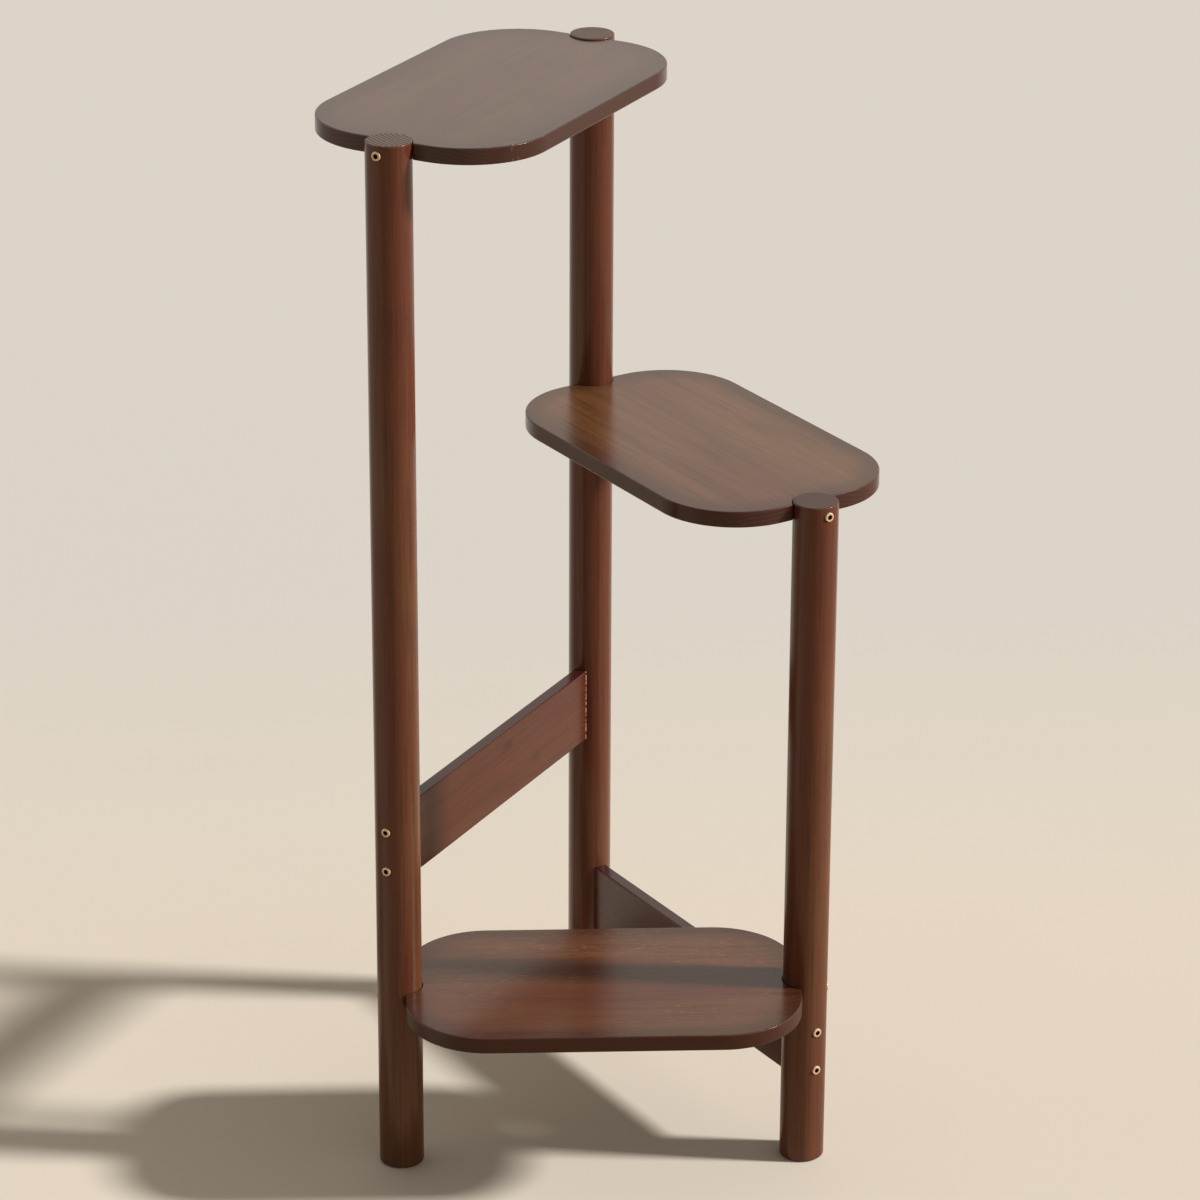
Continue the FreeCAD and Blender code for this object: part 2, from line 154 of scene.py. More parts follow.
class Sheet:
    """A node tree that is written from top to bottom."""

    def __init__(self, tree: bpy.types.NodeTree) -> None:
        """Takes a tree and empties it."""
        self.tree = tree
        self.tree.nodes.clear()

    def node(self, kind: str, settings: Settings = None, sockets: Sockets = None) -> bpy.types.Node:
        """Adds a node, sets it up, and connects its inputs.

        Args:
            kind: The node's type.
            settings: Its own settings, set first.
            sockets: A value or a wire for each input, by name or number.

        Returns:
            The node.
        """
        node = self.tree.nodes.new(kind)
        for name, setting in (settings or {}).items():
            setattr(node, name, setting)
        for name, value in (sockets or {}).items():
            self._feed(node.inputs[name], value)
        return node

    def add(
        self, kind: str, settings: Settings = None, sockets: Sockets = None, output: str | int = 0
    ) -> Wire:
        """Adds a node, and returns one of its outputs by name or number."""
        return Wire(self, self.node(kind, settings, sockets).outputs[output])

    def _feed(self, socket: bpy.types.NodeSocket, value: "Value") -> None:
        """Connects a wire to an input, or sets a plain value on it.

        Args:
            socket: The input.
            value: A wire, a number, a vector or a colour.
        """
        if isinstance(value, Wire):
            self.tree.links.new(value.socket, socket)
        elif socket.type == "RGBA":
            socket.default_value = (*value, 1.0)
        else:
            socket.default_value = value

    def object_point(self) -> Wire:
        """Returns the point on the piece, in metres."""
        return self.add("ShaderNodeTexCoord", output="Object")

    def surface_normal(self) -> Wire:
        """Returns the direction that the surface faces, before any bump."""
        return self.add("ShaderNodeTexCoord", output="Normal")

    def own_axes(self, vector: Wire, centre: Vector, turn: Vector) -> Wire:
        """Turns a point or a normal into the axes of a piece, from its centre and turn."""
        sockets = {"Vector": vector, "Location": tuple(centre), "Rotation": tuple(turn)}
        return self.add("ShaderNodeMapping", {"vector_type": "TEXTURE"}, sockets)

    def stretched(self, point: Wire, scale: tuple[float, float, float], start: float) -> Wire:
        """Stretches a point along its axes. The start moves it, so that two pieces differ."""
        sockets = {0: point, 1: scale, 2: (start, start * 1.7, start * 2.3)}
        return self.add("ShaderNodeVectorMath", {"operation": "MULTIPLY_ADD"}, sockets)

    def split(self, vector: Wire) -> tuple[Wire, Wire, Wire]:
        """Splits a vector.

        Args:
            vector: The vector.

        Returns:
            Its three parts.
        """
        first = self.add("ShaderNodeSeparateXYZ", None, {"Vector": vector})
        outputs = first.socket.node.outputs
        return first, Wire(self, outputs["Y"]), Wire(self, outputs["Z"])

    def noise(self, point: Wire, scale: float, detail: float, roughness: float = 0.5) -> Wire:
        """Adds noise between 0 and 1. Detail counts its finer layers, and roughness is their strength."""
        sockets = {"Vector": point, "Scale": scale, "Detail": detail, "Roughness": roughness}
        return self.add("ShaderNodeTexNoise", {"noise_dimensions": "3D"}, sockets)

    def mix(self, first: "Value", second: "Value", amount: "Value") -> Wire:
        """Mixes two colours, by how much there is of the second."""
        settings = {"data_type": "RGBA", "blend_type": "MIX", "clamp_factor": True}
        return self.add("ShaderNodeMix", settings, {0: amount, 6: first, 7: second}, output=2)

    def bump(self, height: "Value", depth: float, strength: float) -> Wire:
        """Returns the normal, bumped by a height from 0 to 1 that stands for a depth in metres."""
        sockets = {"Height": height, "Distance": depth, "Strength": strength}
        return self.add("ShaderNodeBump", None, sockets)

    def seen_by(self, ray: str) -> Wire:
        """Returns 1 for one kind of ray, such as "Is Camera Ray", and 0 for the rest."""
        return self.add("ShaderNodeLightPath", output=ray)


class Shader(Sheet):
    """A node-based material under one Principled surface."""

    def __init__(self, name: str) -> None:
        """Starts an empty material.

        Args:
            name: The material's name.
        """
        self.material = bpy.data.materials.new(name)
        self.material.use_nodes = True
        super().__init__(self.material.node_tree)
        self.surface = self.node("ShaderNodeBsdfPrincipled")
        shown = Wire(self, self.surface.outputs["BSDF"])
        self.node("ShaderNodeOutputMaterial", None, {"Surface": shown})

    def finish(self, **sockets: "Value") -> bpy.types.Material:
        """Sets inputs of the surface, named with underscores for spaces.

        Args:
            sockets: A value or a wire for each input.

        Returns:
            The finished material.
        """
        for name, value in sockets.items():
            words = " ".join(word if word.isupper() else word.capitalize() for word in name.split("_"))
            self._feed(self.surface.inputs[words], value)
        return self.material


# ---------------------------------------------------------------- finishes


def srgb(red: int, green: int, blue: int) -> Colour:
    """Turns a colour as the eye reads it, 0 to 255, into the light that it reflects.

    Args:
        red: Red.
        green: Green.
        blue: Blue.

    Returns:
        The linear colour.
    """

    def linear(part: int) -> float:
        """Returns one linear part."""
        share = part / 255
        return share / 12.92 if share <= 0.04045 else ((share + 0.055) / 1.055) ** 2.4

    return linear(red), linear(green), linear(blue)


@dataclass(frozen=True)
class Outline:
    """A board's rounded outline, seen along its thickness and measured from its centre."""

    half_length: float
    half_width: float
    half_thickness: float
    corner: float

    def inside(self, along: Wire, across: Wire) -> Wire:
        """Measures how far inside the outline a point is.

        Args:
            along: The point along the board.
            across: The point across it.

        Returns:
            The distance to the outline, in metres.
        """
        over_x = abs(along) - (self.half_length - self.corner)
        over_y = abs(across) - (self.half_width - self.corner)
        out_x, out_y = over_x.at_least(0.0), over_y.at_least(0.0)
        corner = (out_x * out_x + out_y * out_y).root()
        return self.corner - (corner + over_x.at_least(over_y).at_most(0.0))


class Cut(Enum):
    """How a piece of wood is cut, which tells its faces from its edges."""

    ROUND = "turned, with no faces"
    FLAT = "a board that lies flat"
    UPRIGHT = "a board on edge"


class Grain:
    """The grain of one piece: layers of noise drawn out along it, and its growth rings."""

    def __init__(self, shader: Shader, point: Wire, wood: "StainedWood") -> None:
        """Draws the layers that the finish is mixed from, each between 0 and 1.

        Args:
            shader: The piece's shader.
            point: The point along, across and through the grain.
            wood: It says where the pattern starts and how the rings run.
        """
        self.shader = shader
        self.point = point
        self.start = wood.start
        self.along, self.across, self.through = shader.split(point)
        self.ring = self.rings(wood.pith, wood.ring_width)
        self.fibres = self.layer((14.0, 900.0, 900.0), rough=0.6)
        self.lines = self.layer((11.0, 360.0, 360.0), detail=3.0, rough=0.6)
        self.streaks = self.layer((2.4, 70.0, 70.0), detail=3.0)
        self.clouds = self.layer((5.5, 14.0, 14.0), detail=3.0, rough=0.55)
        self.hue = self.layer((3.2, 17.0, 17.0))
        self.pores = self.layer((70.0, 1500.0, 1500.0), detail=1.0).between(0.64, 0.74)
        flecks = self.layer((150.0, 1100.0, 1100.0), detail=0.0).between(0.70, 0.78)
        self.flecks = flecks * self.clouds.between(0.4, 0.62)

    def layer(self, scale: tuple[float, float, float], detail: float = 2.0, rough: float = 0.5) -> Wire:
        """Draws one layer of noise, at a scale along, across and through the grain."""
        return self.shader.noise(self.shader.stretched(self.point, scale, self.start), 1.0, detail, rough)

    def rings(self, pith: tuple[float, float], width: float) -> Wire:
        """Draws growth rings round a pith beside the piece, bent by slow waves along the grain.

        Args:
            pith: Where the pith is, across and through the grain.
            width: How far apart the rings are.

        Returns:
            0 between rings and 1 on one.
        """
        waves = self.layer((2.2, 30.0, 30.0))
        off_across, off_through = self.across - pith[0], self.through - pith[1]
        radius = (off_across * off_across + off_through * off_through).root()
        phase = radius / width + waves * 1.6
        return (phase * (2 * math.pi)).sine() * 0.5 + 0.5


@dataclass(frozen=True)
class StainedWood:
    """Hardwood under sprayed stain and a satin lacquer. Its grain runs along the mapped X axis."""

    name: str
    start: float
    deep: Colour = srgb(50, 25, 17)
    red: Colour = srgb(100, 50, 34)
    tan: Colour = srgb(106, 69, 42)
    fleck: Colour = srgb(168, 106, 70)
    bare: Colour = srgb(212, 176, 142)
    # The sides of boards: darker partly from the stain and partly as painted shade
    edge: Colour = srgb(55, 20, 15)
    end_dark: Colour = srgb(14, 8, 6)
    end_light: Colour = srgb(122, 96, 84)
    ring_width: float = 3.6 * MM
    ring_show: float = 0.12
    end_ring_show: float = 0.9
    pith: tuple[float, float] = (0.065, -0.10)
    tan_from: float = 0.56
    tan_blur: float = 0.16
    browner_below: float = 0.0
    streak_show: float = 0.3
    pore_show: float = 0.3
    fleck_show: float = 0.12
    gloss: float = 0.21
    ior: float = 1.5
    relief: float = 0.04 * MM
    rim_width: float = 32 * MM
    knot_size: float = 9 * MM
    cut: Cut = Cut.ROUND
    outline: Outline | None = None
    scuff: tuple[float, float] | None = None
    worn_end: float | None = None
    knots: tuple[tuple[float, float], ...] = ()

    def make(self, centre: Vector, turn: Vector) -> bpy.types.Material:
        """Makes the wood for one piece.

        Args:
            centre: The piece's centre.
            turn: The turn that takes X to the direction of the grain.

        Returns:
            The material.
        """
        shader = Shader(self.name)
        grain = Grain(shader, shader.own_axes(shader.object_point(), centre, turn), self)
        on_end, on_face = self.facing(shader, turn)
        dark_ring = grain.ring.between(0.2, 0.6)
        colour = self.stained(grain)
        if self.outline:
            depth = self.outline.inside(grain.along, grain.across)
            colour = self.rimmed(grain, colour, depth, on_face)
            colour = self.rubbed(grain, colour, depth)
        # Painted shade, partly the stain taking darker: a board's sides, and a rail's top and bottom, go
        # towards the edge colour
        if self.cut is not Cut.ROUND:
            colour = shader.mix(colour, self.edge, (1 - on_face) * 0.85)
        for knot in self.knots:
            colour = self.knotted(grain, colour, knot)
        if self.worn_end:
            colour = self.chipped(grain, colour, on_face)
        colour = self.ended(grain, colour, on_end, dark_ring)
        height = grain.lines * 0.2 + grain.fibres * 0.5 - grain.pores * 0.6 - on_end * dark_ring * 0.8
        return shader.finish(
            Base_Color=colour,
            Roughness=self.gloss + (grain.clouds - 0.5) * 0.08 + grain.lines * 0.04 + on_end * 0.25,
            Normal=shader.bump(height, self.relief, 0.4),
            IOR=self.ior,
        )

    def facing(self, shader: Shader, turn: Vector) -> tuple[Wire, Wire]:
        """Tells end grain and broad faces from the rest of the surface.

        Args:
            shader: The shader.
            turn: The turn that takes X to the direction of the grain.

        Returns:
            1 on end grain, and 1 on a broad face.
        """
        normal = shader.own_axes(shader.surface_normal(), Vector(), turn)
        end_facing, side_facing, up_facing = shader.split(normal)
        on_face = abs(up_facing if self.cut is Cut.FLAT else side_facing).between(0.5, 0.95)
        return abs(end_facing).between(0.6, 0.95), on_face

    def stained(self, grain: Grain) -> Wire:
        """Mixes the stain: red with browner drifts, and darker where more of it took.

        Args:
            grain: The piece's grain.

        Returns:
            The stain's colour.
        """
        mix = grain.shader.mix
        browner = grain.hue - grain.along * self.browner_below
        tan_share = browner.between(self.tan_from - self.tan_blur, self.tan_from + self.tan_blur)
        colour = mix(self.red, self.tan, tan_share * 0.9)
        colour = mix(colour, self.deep, grain.streaks.between(0.44, 0.74) * self.streak_show)
        colour = mix(colour, self.deep, grain.clouds.between(0.5, 0.78) * 0.4)
        colour = mix(colour, self.deep, grain.lines.between(0.46, 0.72) * 0.4)
        colour = mix(colour, self.deep, grain.ring * self.ring_show)
        colour = mix(colour, self.tan, grain.fibres.between(0.5, 0.75) * 0.45)
        colour = mix(colour, self.deep, grain.pores * self.pore_show)
        return mix(colour, self.fleck, grain.flecks * self.fleck_show)

    def rimmed(self, grain: Grain, colour: Wire, depth: Wire, on_face: Wire) -> Wire:
        """Darkens a shelf towards its outline, where the stain was sprayed twice.

        Args:
            grain: The piece's grain.
            colour: The stain's colour.
            depth: The distance to the outline.
            on_face: 1 on a broad face.

        Returns:
            The darkened colour.
        """
        drift = (grain.clouds - 0.5) * (12 * MM)
        rim = (depth + drift).between(self.rim_width, 2 * MM)
        return grain.shader.mix(colour, self.deep, rim * on_face * 0.6)

    def rubbed(self, grain: Grain, colour: Wire, depth: Wire) -> Wire:
        """Rubs the stain thin along a shelf's edges, and scratches it where it was knocked.

        Args:
            grain: The piece's grain.
            colour: The stain's colour.
            depth: The distance to the outline.

        Returns:
            The worn colour.
        """
        shader = grain.shader
        level = abs(grain.through) - self.outline.half_thickness
        arris = (depth - level).between(2.2 * MM, 0.7 * MM)
        chips = grain.layer((90.0, 90.0, 90.0), detail=3.0, rough=0.6)
        colour = shader.mix(colour, self.fleck, arris * chips.between(0.6, 0.7) * 0.3)
        if self.scuff:
            sockets = {0: grain.point, 1: (*self.scuff, 0.0)}
            away = shader.add("ShaderNodeVectorMath", {"operation": "DISTANCE"}, sockets, output="Value")
            scratches = shader.stretched(grain.point, (1100.0, 700.0, 130.0), 3.0)
            marks = shader.noise(scratches, 1.0, 2.0, 0.6).between(0.6, 0.68)
            colour = shader.mix(colour, self.bare, marks * away.between(15 * MM, 4 * MM) * 0.8)
        return colour

    def knotted(self, grain: Grain, colour: Wire, knot: tuple[float, float]) -> Wire:
        """Darkens the grain round a small knot in an upright board.

        Args:
            grain: The piece's grain.
            colour: The stain's colour.
            knot: Where the knot is, along and through the board.

        Returns:
            The knotted colour.
        """
        off_along, off_through = (grain.along - knot[0]) * 0.6, (grain.through - knot[1]) * 1.4
        away = (off_along * off_along + off_through * off_through).root()
        curls = (grain.layer((150.0, 420.0, 420.0)) - 0.5) * self.knot_size
        return grain.shader.mix(colour, self.deep, (away + curls).between(self.knot_size, 1 * MM) * 0.6)

    def chipped(self, grain: Grain, colour: Wire, on_face: Wire) -> Wire:
        """Bares the wood in a ragged strip at a rail's end, where it butts against the leg.

        Args:
            grain: The piece's grain.
            colour: The stain's colour.
            on_face: 1 on a broad face.

        Returns:
            The chipped colour.
        """
        chips = grain.layer((200.0, 200.0, 260.0), rough=0.6).between(0.4, 0.55)
        strip = grain.along.between(self.worn_end, self.worn_end + 0.5 * MM)
        return grain.shader.mix(colour, self.bare, strip * chips * on_face * 0.9)

    def ended(self, grain: Grain, colour: Wire, on_end: Wire, dark_ring: Wire) -> Wire:
        """Shows the growth rings on end grain, which drinks more stain. On a shelf they show only
        faintly, so that its ends keep the darker edge colour, which is partly painted shade.

        Args:
            grain: The piece's grain.
            colour: The stain's colour.
            on_end: 1 on end grain.
            dark_ring: 1 on the dark part of a ring.

        Returns:
            The colour with the end grain's.
        """
        mix = grain.shader.mix
        dots = grain.layer((40.0, 900.0, 900.0), detail=1.0).between(0.56, 0.68)
        end = mix(self.end_light, self.end_dark, dark_ring * self.end_ring_show)
        end = mix(end, self.end_dark, dots * 0.4)
        return mix(colour, end, on_end * (0.08 if self.outline else 1.0))


@dataclass(frozen=True)
class AntiqueBrass:
    """Pale brass plate, brighter where it is rubbed and browned where it is not."""

    name: str = "antique_brass"
    rubbed: Colour = srgb(252, 228, 192)
    plate: Colour = srgb(238, 192, 152)
    browned: Colour = srgb(140, 98, 68)
    browning: float = 0.4
    roughness: float = 0.3
    metal: float = 0.45
    relief: float = 0.01 * MM

    def make(self) -> bpy.types.Material:
        """Makes the material.

        Returns:
            The material.
        """
        shader = Shader(self.name)
        point = shader.object_point()
        patches = shader.noise(point, 420.0, 3.0, 0.6)
        scuffs = shader.noise(point, 2200.0, 2.0)
        tarnish = patches.between(0.52, 0.76)
        colour = shader.mix(self.plate, self.rubbed, scuffs.between(0.35, 0.7))
        colour = shader.mix(colour, self.browned, tarnish * self.browning)
        return shader.finish(
            Base_Color=colour,
            Metallic=self.metal,
            Roughness=self.roughness + tarnish * 0.2 + scuffs * 0.1,
            Normal=shader.bump(scuffs, self.relief, 0.4),
        )


@dataclass(frozen=True)
class ZincPlate:
    """Bright zinc on the threaded inserts, dulled in patches."""

    name: str = "zinc_plate"
    bright: Colour = srgb(196, 194, 186)
    dull: Colour = srgb(138, 134, 124)
    roughness: float = 0.32
    relief: float = 0.01 * MM

    def make(self) -> bpy.types.Material:
        """Makes the material.

        Returns:
            The material.
        """
        shader = Shader(self.name)
        patches = shader.noise(shader.object_point(), 600.0, 3.0, 0.6)
        colour = shader.mix(self.bright, self.dull, patches.between(0.4, 0.7))
        return shader.finish(
            Base_Color=colour,
            Metallic=1.0,
            Roughness=self.roughness + patches * 0.2,
            Normal=shader.bump(patches, self.relief, 0.3),
        )


@dataclass(frozen=True)
class PaleFloor:
    """A plain pale floor, matt and faintly mottled, greyer far back. From below it is see-through."""

    name: str = "pale_floor"
    colour: Colour = srgb(227, 219, 207)
    far: Colour = srgb(216, 214, 211)
    shade: Colour = srgb(172, 150, 124)
    roughness: float = 0.75
    far_from: float = 0.2
    far_to: float = 1.3

    def make(self) -> bpy.types.Material:
        """Makes the material. In a gloss the floor shows dim at the sides and dark in front.

        Returns:
            The material.
        """
        shader = Shader(self.name)
        point = shader.object_point()
        mottle = shader.noise(point, 3.0, 3.0)
        soft = tuple(part * 0.97 for part in self.colour)
        side, ahead, _ = shader.split(point)
        colour = shader.mix(self.colour, soft, mottle)
        colour = shader.mix(colour, self.far, ahead.between(self.far_from, self.far_to))
        # Its own colour shows to the camera, to a gloss from some sides and to soft light behind
        behind = (ahead + abs(side) * 0.4).between(-0.35, 0.05)
        reach = (side * side + ahead * ahead).root().at_least(0.01)
        beside = abs(side / reach).between(0.66, 0.78) * 0.3
        mirrored = beside.at_least((ahead / reach).between(0.5, 0.75))
        camera, glossy = shader.seen_by("Is Camera Ray"), shader.seen_by("Is Glossy Ray")
        shown = camera.at_least(mirrored * glossy).at_least(behind * (1 - glossy))
        below = shader.add("ShaderNodeNewGeometry", output="Backfacing")
        return shader.finish(
            Base_Color=shader.mix(self.shade, colour, shown),
            Roughness=self.roughness + mottle * 0.1,
            Alpha=1 - below * camera,
        )


# ---------------------------------------------------------------- modelling


def deselect_all() -> None:
    """Leaves edit mode and clears the selection."""
    if bpy.context.object and bpy.context.object.mode != "OBJECT":
        bpy.ops.object.mode_set(mode="OBJECT")
    bpy.ops.object.select_all(action="DESELECT")


def activate(piece: bpy.types.Object) -> None:
    """Makes a piece the only one selected.

    Args:
        piece: The piece.
    """
    deselect_all()
    piece.select_set(True)
    bpy.context.view_layer.objects.active = piece


def select_edges(piece: bpy.types.Object, test: Callable[[Vector, Vector], bool]) -> None:
    """Selects, in edit mode, the edges whose two ends pass a test.

    Args:
        piece: The piece.
        test: Takes the two ends.
    """
    bpy.ops.object.mode_set(mode="EDIT")
    bpy.ops.mesh.select_mode(type="EDGE")
    bpy.ops.mesh.select_all(action="DESELECT")
    bpy.ops.object.mode_set(mode="OBJECT")
    points = piece.data.vertices
    for edge in piece.data.edges:
        first, last = (points[number].co for number in edge.vertices)
        edge.select = test(first, last)
    bpy.ops.object.mode_set(mode="EDIT")


def apply_modifier(piece: bpy.types.Object, kind: str, **settings: Any) -> None:
    """Adds a modifier and applies it.

    Args:
        piece: The piece.
        kind: The modifier's type.
        settings: Its settings.
    """
    activate(piece)
    modifier = piece.modifiers.new(kind.lower(), kind)
    for name, setting in settings.items():
        setattr(modifier, name, setting)
    bpy.ops.object.modifier_apply(modifier=modifier.name)


def cylinder(radius: float, low: float, high: float, sides: int) -> bpy.types.Object:
    """Adds a cylinder along Z.

    Args:
        radius: Its radius.
        low: The height of its foot.
        high: The height of its top.
        sides: How many sides it has.

    Returns:
        The cylinder.
    """
    deselect_all()
    middle = (0, 0, (low + high) / 2)
    bpy.ops.mesh.primitive_cylinder_add(vertices=sides, radius=radius, depth=high - low, location=middle)
    piece = bpy.context.object
    bpy.ops.object.transform_apply(location=True, rotation=True, scale=True)
    return piece


def cut_with(piece: bpy.types.Object, cutter: bpy.types.Object) -> None:
    """Cuts a piece with another, which is then removed."""
    apply_modifier(piece, "BOOLEAN", operation="DIFFERENCE", object=cutter, solver="EXACT")
    bpy.data.objects.remove(cutter)


def helix(profile: list[tuple[float, float]], low: float, pitch: float, turns: int) -> bpy.types.Object:
    """Winds a thread's profile round Z and closes both its ends.

    Args:
        profile: Radius and height of each point, one pitch high.
        low: Where the thread starts.
        pitch: How far it climbs in a turn.
        turns: How many turns it makes.

    Returns:
        The threaded rod.
    """
    deselect_all()
    bpy.ops.mesh.primitive_plane_add(size=1.0)
    piece = bpy.context.object
    bpy.ops.object.mode_set(mode="EDIT")
    bpy.ops.mesh.delete(type="VERT")
    bpy.ops.object.mode_set(mode="OBJECT")
    piece.data.from_pydata(
        [(radius, 0.0, low + height) for radius, height in profile],
        [(number, number + 1) for number in range(len(profile) - 1)],
        [],
    )
    apply_modifier(
        piece,
        "SCREW",
        axis="Z",
        angle=2 * math.pi,
        screw_offset=pitch,
        iterations=turns,
        steps=TURN_STEPS,
        render_steps=TURN_STEPS,
        use_merge_vertices=True,
        merge_threshold=WELD,
    )
    bpy.ops.object.mode_set(mode="EDIT")
    bpy.ops.mesh.select_all(action="SELECT")
    bpy.ops.mesh.remove_doubles(threshold=WELD)
    bpy.ops.mesh.select_all(action="DESELECT")
    bpy.ops.mesh.select_mode(type="EDGE")
    bpy.ops.mesh.select_non_manifold(extend=False)
    bpy.ops.mesh.fill_holes(sides=0)
    bpy.ops.mesh.select_all(action="SELECT")
    bpy.ops.mesh.normals_make_consistent(inside=False)
    bpy.ops.object.mode_set(mode="OBJECT")
    return piece


def join(shells: list[bpy.types.Object], name: str) -> bpy.types.Object:
    """Joins shells into one piece.

    Args:
        shells: The shells.
        name: The piece's name.

    Returns:
        The piece.
    """
    activate(shells[0])
    for shell in shells[1:]:
        shell.select_set(True)
    bpy.ops.object.join()
    shells[0].name = name
    shells[0].data.name = name
    return shells[0]


# ---------------------------------------------------------------- the stand's frame


def middle_of(node: str) -> Vector:
    """Returns the centre of a node's box."""
    low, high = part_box(node)
    return (Vector(low) + Vector(high)) / 2


class Corner(Enum):
    """A leg's corner of the triangle, by its node."""

    LEFT = "left_leg"
    RIGHT = "right_leg"
    REAR = "rear_leg"

    def axis(self) -> Vector:
        """Returns the leg's centre line, as a point on the floor."""
        centre = middle_of(self.value)
        return Vector((centre.x, centre.y, 0.0))


class Span(Enum):
    """A side of the triangle, from its first leg to its second."""

    FRONT = (Corner.LEFT, Corner.RIGHT)
    LEFT = (Corner.LEFT, Corner.REAR)
    RIGHT = (Corner.RIGHT, Corner.REAR)

    def direction(self) -> Vector:
        """Returns the unit vector along the side."""
        first, last = self.value
        return (last.axis() - first.axis()).normalized()

    def turn(self) -> Vector:
        """Returns the turn about Z that takes X to the side's direction."""
        way = self.direction()
        return Vector((0.0, 0.0, math.atan2(way.y, way.x)))


def dress(node: str, material: bpy.types.Material) -> None:
    """Gives a carried-over solid its finish.

    Args:
        node: The solid's node.
        material: The finish.
    """
    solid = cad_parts[node]
    solid.data.materials.clear()
    solid.data.materials.append(material)
    log.info("%s dressed in %s", node, material.name)


# ---------------------------------------------------------------- sub-assemblies


@dataclass
class Legs:
    """The three dowels. Their grain runs upwards."""

    upright: Vector = field(default_factory=lambda: Vector((0.0, -math.pi / 2, 0.0)))

    def woods(self) -> dict[Corner, StainedWood]:
        """Picks the length of wood that each leg is turned from.

        Returns:
            The wood of each corner's leg.
        """
        return {
            Corner.LEFT: StainedWood("left_leg_wood", start=3.1, browner_below=0.3),
            Corner.RIGHT: StainedWood(
                "right_leg_wood",
                start=7.7,
                pith=(-0.09, -0.04),
                ring_width=1.4 * MM,
                end_ring_show=0.5,
                end_light=srgb(88, 62, 55),
                browner_below=0.3,
            ),
            Corner.REAR: StainedWood(
                "rear_leg_wood",
                start=12.9,
                pith=(0.02, 0.05),
                ring_width=1.8 * MM,
                end_ring_show=0.55,
                end_light=srgb(104, 82, 72),
                browner_below=0.2,
            ),
        }

    def build(self) -> None:
        """Dresses each leg in its own length of wood."""
        for corner, wood in self.woods().items():
            dress(corner.value, wood.make(middle_of(corner.value), self.upright))


@dataclass
class Boards:
    """The shelves and rails. Their grain runs from leg to leg."""

    shelf_length: float = 0.335
    shelf_width: float = 0.202
    shelf_thickness: float = 0.014
    shelf_corner: float = 0.070
    spans: dict[str, Span] = field(
        default_factory=lambda: {
            "top_shelf": Span.LEFT,
            "middle_shelf": Span.RIGHT,
            "bottom_shelf": Span.FRONT,
            "left_rail": Span.LEFT,
            "right_rail": Span.RIGHT,
        }
    )

    def woods(self) -> dict[str, StainedWood]:
        """Picks the board that each shelf and rail is sawn from.

        Returns:
            The wood of each node.
        """
        half_sizes = (self.shelf_length / 2, self.shelf_width / 2, self.shelf_thickness / 2)
        outline = Outline(*half_sizes, self.shelf_corner)
        shelf = {
            "cut": Cut.FLAT,
            "outline": outline,
            "pith": (0.02, -0.30),
            "ring_show": 0.05,
            "gloss": 0.2,
        }
        rail = {"cut": Cut.UPRIGHT, "red": srgb(88, 40, 26), "tan": srgb(92, 54, 34)}
        return {
            "top_shelf": StainedWood(
                "top_shelf_wood",
                start=21.3,
                # Greyer, duller stain than the other shelves: partly the board's own tone, partly a
                # painted grey reflection
                red=srgb(88, 54, 39),
                tan=srgb(94, 66, 45),
                streak_show=0.2,
                ior=1.6,
                scuff=(-0.133, -0.091),
                **shelf,
            ),
            "middle_shelf": StainedWood(
                "middle_shelf_wood",
                start=33.8,
                red=srgb(104, 58, 39),
                tan=srgb(117, 79, 48),
                tan_from=0.46,
                **shelf,
            ),
            "bottom_shelf": StainedWood(
                "bottom_shelf_wood",
                start=41.2,
                red=srgb(98, 52, 35),
                tan=srgb(112, 73, 44),
                tan_from=0.52,
                pore_show=0.5,
                fleck_show=0.6,
                **shelf,
            ),
            "left_rail": StainedWood(
                "left_rail_wood",
                start=52.4,
                pith=(-0.09, 0.02),
                worn_end=0.1530,
                knots=((0.008, 0.019), (0.060, -0.011)),
                pore_show=0.1,
                ior=1.4,
                **rail,
            ),
            "right_rail": StainedWood(
                "right_rail_wood",
                start=63.6,
                pith=(0.07, 0.03),
                pore_show=0.1,
                **rail,
            ),
        }

    def build(self) -> None:
        """Dresses each shelf and rail."""
        for node, wood in self.woods().items():
            dress(node, wood.make(middle_of(node), self.spans[node].turn()))


